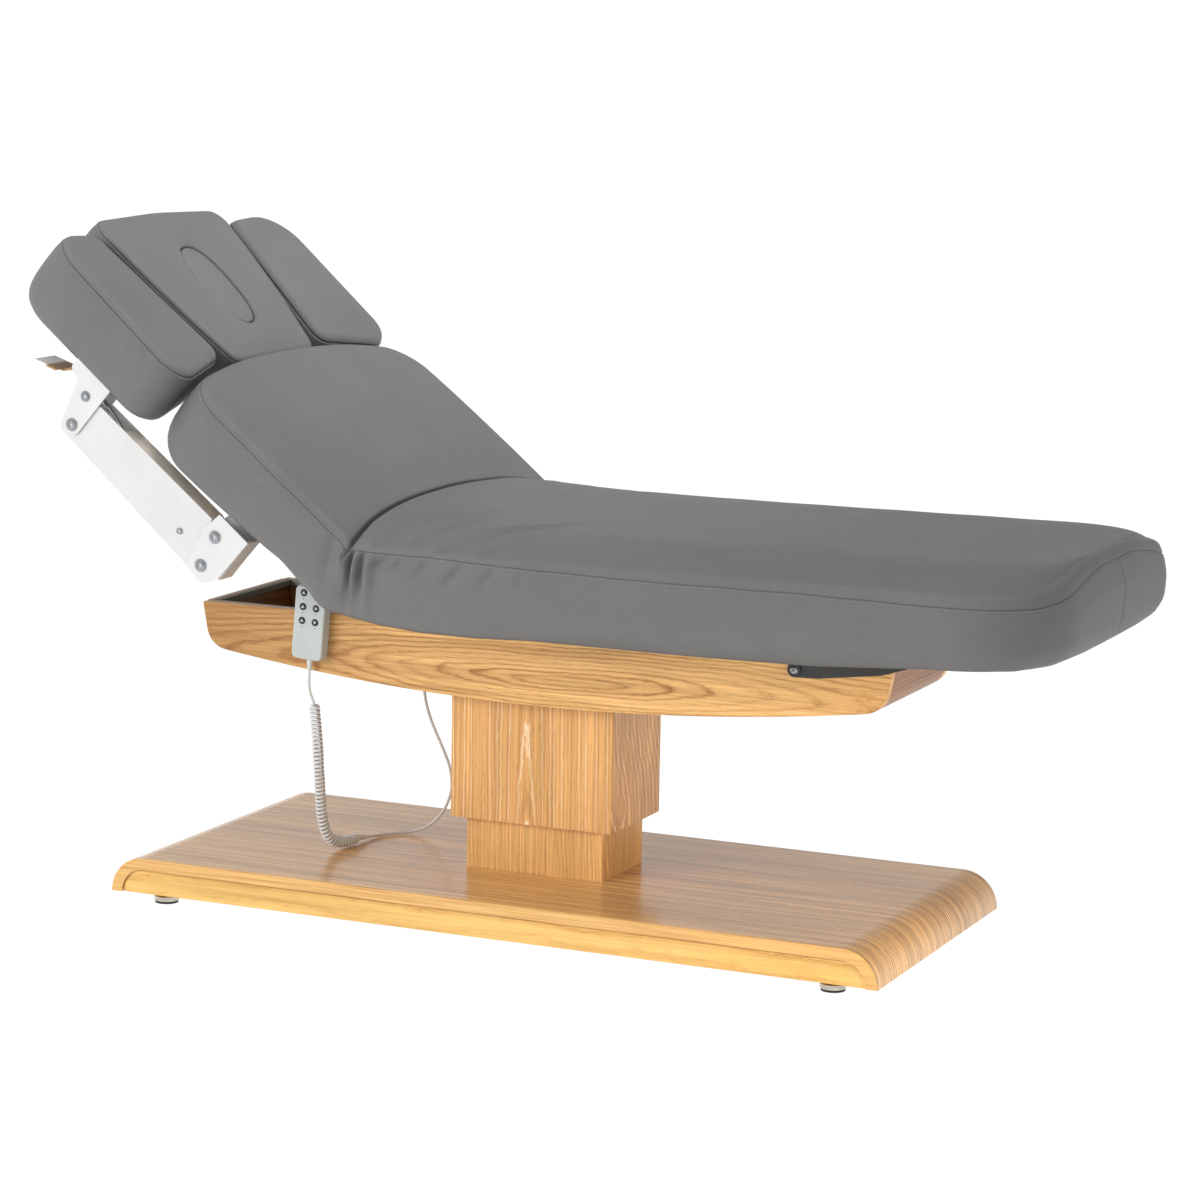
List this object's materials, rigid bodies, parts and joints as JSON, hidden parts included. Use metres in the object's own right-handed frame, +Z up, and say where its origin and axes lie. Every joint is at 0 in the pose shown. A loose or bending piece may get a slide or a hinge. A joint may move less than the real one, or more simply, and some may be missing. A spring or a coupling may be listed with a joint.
{
  "type": "spa lounger",
  "caption": "Electric spa lounger: long padded bed with a raised back, split drop wings by the head, wooden boat-shaped tray on a telescopic wooden column and a wide bent-ply base, handset",
  "frame": {"origin": "On the floor, under the middle of the whole object's box.", "axes": "+X runs to the foot end of the bed, +Z is up, +Y is the side away from the handset."},
  "size_m": [1.8316, 0.8, 1.1569],
  "materials": {
    "leatherette": "satin",
    "oak_top": "satin",
    "ash_edge": "satin",
    "ash_stained": "satin",
    "ply": "matte",
    "white_paint": "satin",
    "dark_steel": "satin",
    "black_steel": "satin",
    "chrome": "polished",
    "zinc": "satin",
    "grey_strip": "matte",
    "handset_grey": "satin",
    "button_black": "satin",
    "cord_grey": "satin",
    "drive_black": "matte"
  },
  "bodies": {
    "base": {"base_panel": "oak_top", "base_frame_boards": "ash_edge", "lower_column_cover": "ash_stained", "lift_outer_tube": "dark_steel", "lift_motor": "drive_black", "cord_coil": "cord_grey", "cord_tail": "cord_grey"},
    "carriage": {"upper_column_sleeve": "ash_stained", "lift_inner_tube": "dark_steel", "tray_sides": "ash_stained", "tray_floor": "ash_stained", "tray_ends": "ash_stained", "tray_rim_strip": "grey_strip", "seat_frame": "dark_steel", "seat_board": "ply", "seat_cushion": "leatherette", "control_box": "drive_black", "back_actuator": "drive_black", "leg_actuator": "drive_black", "handset_front": "handset_grey", "handset_back": "handset_grey", "handset_gland": "cord_grey", "cord_lead": "cord_grey"},
    "back": {"back_frame": "dark_steel", "back_board": "ply", "back_cushion": "leatherette", "arm_brackets": "white_paint"},
    "leg": {"leg_board": "ply", "leg_cushion": "leatherette", "knee_arms": "black_steel", "knee_shaft": "dark_steel"},
    "head": {"head_cushion": "leatherette", "head_frame": "dark_steel"},
    "plug": {"face_plug": "leatherette"},
    "back_rod": {"back_actuator_rod": "zinc"},
    "leg_rod": {"leg_actuator_rod": "zinc"},
    "arm_near": {"wing_arm_near": "white_paint"},
    "link_near": {"wing_link_near": "white_paint"},
    "gas_near": {"gas_spring_near": "black_steel"},
    "gas_rod_near": {"gas_spring_rod_near": "zinc"},
    "wing_near": {"wing_bracket_near": "white_paint", "wing_cushion_near": "leatherette"},
    "lever_near": {"release_lever_near": "white_paint"},
    "arm_far": {"wing_arm_far": "white_paint"},
    "link_far": {"wing_link_far": "white_paint"},
    "gas_far": {"gas_spring_far": "black_steel"},
    "gas_rod_far": {"gas_spring_rod_far": "zinc"},
    "wing_far": {"wing_bracket_far": "white_paint", "wing_cushion_far": "leatherette"},
    "lever_far": {"release_lever_far": "white_paint"},
    "button_1": {"button_1": "button_black"},
    "button_2": {"button_2": "button_black"},
    "button_3": {"button_3": "button_black"},
    "button_4": {"button_4": "button_black"},
    "button_5": {"button_5": "button_black"},
    "button_6": {"button_6": "button_black"},
    "foot_1": {"levelling_foot_1": "chrome"},
    "foot_2": {"levelling_foot_2": "chrome"},
    "foot_3": {"levelling_foot_3": "chrome"},
    "foot_4": {"levelling_foot_4": "chrome"}
  },
  "joints": [
    {"name": "lift", "type": "slide", "parent": "base", "child": "carriage", "axis": [0, 0, 1], "range_m": [-0.07, 0.15], "deforming": ["cord_coil", "cord_tail"]},
    {"name": "back_recline", "type": "hinge", "parent": "carriage", "child": "back", "pos_m": [-0.30815, 0, 0.536], "axis": [0, 1, 0], "range_deg": [-40, 35]},
    {"name": "leg_raise", "type": "hinge", "parent": "carriage", "child": "leg", "pos_m": [0.42285, 0, 0.49], "axis": [0, -1, 0], "range_deg": [0, 30]},
    {"name": "head_tilt", "type": "hinge", "parent": "back", "child": "head", "pos_m": [-0.64842, 0, 0.815], "axis": [0, 1, 0], "range_deg": [-35, 0]},
    {"name": "plug_lift", "type": "slide", "parent": "head", "child": "plug", "axis": [0.6947, 0, 0.7193], "range_m": [0, 0.125]},
    {"name": "back_drive", "type": "slide", "parent": "carriage", "child": "back_rod", "axis": [1, 0, 0], "range_m": [-0.0395, 0.0445]},
    {"name": "leg_drive", "type": "slide", "parent": "carriage", "child": "leg_rod", "axis": [1, 0, 0], "range_m": [0, 0.0255]},
    {"name": "arm_drop_near", "type": "hinge", "parent": "back", "child": "arm_near", "pos_m": [-0.54835, -0.354, 0.61223], "axis": [0, 1, 0], "range_deg": [-15, 0]},
    {"name": "wing_level_near", "type": "hinge", "parent": "arm_near", "child": "wing_near", "pos_m": [-0.796, -0.354, 0.83048], "axis": [0, 1, 0], "range_deg": [0, 15]},
    {"name": "link_swing_near", "type": "hinge", "parent": "back", "child": "link_near", "pos_m": [-0.52142, -0.354, 0.66143], "axis": [0, 1, 0], "range_deg": [-15, 0]},
    {"name": "spring_swing_near", "type": "hinge", "parent": "arm_near", "child": "gas_near", "pos_m": [-0.59067, -0.354, 0.66602], "axis": [0, 1, 0], "range_deg": [0, 1.7]},
    {"name": "spring_stroke_near", "type": "slide", "parent": "gas_near", "child": "gas_rod_near", "axis": [-0.6188, 0, 0.7855], "range_m": [-0.0174, 0]},
    {"name": "lever_pull_near", "type": "hinge", "parent": "wing_near", "child": "lever_near", "pos_m": [-0.78364, -0.354, 0.92454], "axis": [0, 1, 0], "range_deg": [0, 12], "stiffness_Nm_per_rad": 3},
    {"name": "arm_drop_far", "type": "hinge", "parent": "back", "child": "arm_far", "pos_m": [-0.54835, 0.354, 0.61223], "axis": [0, 1, 0], "range_deg": [-15, 0]},
    {"name": "wing_level_far", "type": "hinge", "parent": "arm_far", "child": "wing_far", "pos_m": [-0.796, 0.354, 0.83048], "axis": [0, 1, 0], "range_deg": [0, 15]},
    {"name": "link_swing_far", "type": "hinge", "parent": "back", "child": "link_far", "pos_m": [-0.52142, 0.354, 0.66143], "axis": [0, 1, 0], "range_deg": [-15, 0]},
    {"name": "spring_swing_far", "type": "hinge", "parent": "arm_far", "child": "gas_far", "pos_m": [-0.59067, 0.354, 0.66602], "axis": [0, 1, 0], "range_deg": [0, 1.7]},
    {"name": "spring_stroke_far", "type": "slide", "parent": "gas_far", "child": "gas_rod_far", "axis": [-0.6188, 0, 0.7855], "range_m": [-0.0174, 0]},
    {"name": "lever_pull_far", "type": "hinge", "parent": "wing_far", "child": "lever_far", "pos_m": [-0.78364, 0.354, 0.92454], "axis": [0, 1, 0], "range_deg": [0, 12], "stiffness_Nm_per_rad": 3},
    {"name": "button_press_1", "type": "slide", "parent": "carriage", "child": "button_1", "axis": [0, 1, 0], "range_m": [0, 0.0012], "stiffness_N_per_m": 900},
    {"name": "button_press_2", "type": "slide", "parent": "carriage", "child": "button_2", "axis": [0, 1, 0], "range_m": [0, 0.0012], "stiffness_N_per_m": 900},
    {"name": "button_press_3", "type": "slide", "parent": "carriage", "child": "button_3", "axis": [0, 1, 0], "range_m": [0, 0.0012], "stiffness_N_per_m": 900},
    {"name": "button_press_4", "type": "slide", "parent": "carriage", "child": "button_4", "axis": [0, 1, 0], "range_m": [0, 0.0012], "stiffness_N_per_m": 900},
    {"name": "button_press_5", "type": "slide", "parent": "carriage", "child": "button_5", "axis": [0, 1, 0], "range_m": [0, 0.0012], "stiffness_N_per_m": 900},
    {"name": "button_press_6", "type": "slide", "parent": "carriage", "child": "button_6", "axis": [0, 1, 0], "range_m": [0, 0.0012], "stiffness_N_per_m": 900},
    {"name": "foot_screw_1", "type": "slide", "parent": "base", "child": "foot_1", "axis": [0, 0, 1], "range_m": [-0.01, 0]},
    {"name": "foot_screw_2", "type": "slide", "parent": "base", "child": "foot_2", "axis": [0, 0, 1], "range_m": [-0.01, 0]},
    {"name": "foot_screw_3", "type": "slide", "parent": "base", "child": "foot_3", "axis": [0, 0, 1], "range_m": [-0.01, 0]},
    {"name": "foot_screw_4", "type": "slide", "parent": "base", "child": "foot_4", "axis": [0, 0, 1], "range_m": [-0.01, 0]}
  ],
  "couplings": [
    {"joint": "back_drive", "follows": "back_recline", "m_per_rad": -0.0625},
    {"joint": "leg_drive", "follows": "leg_raise", "m_per_rad": 0.0477},
    {"joint": "wing_level_near", "follows": "arm_drop_near", "ratio": -1},
    {"joint": "link_swing_near", "follows": "arm_drop_near", "ratio": 1},
    {"joint": "spring_swing_near", "follows": "arm_drop_near", "ratio": -0.104},
    {"joint": "spring_stroke_near", "follows": "arm_drop_near", "m_per_rad": 0.0638},
    {"joint": "wing_level_far", "follows": "arm_drop_far", "ratio": -1},
    {"joint": "link_swing_far", "follows": "arm_drop_far", "ratio": 1},
    {"joint": "spring_swing_far", "follows": "arm_drop_far", "ratio": -0.104},
    {"joint": "spring_stroke_far", "follows": "arm_drop_far", "m_per_rad": 0.0638}
  ]
}
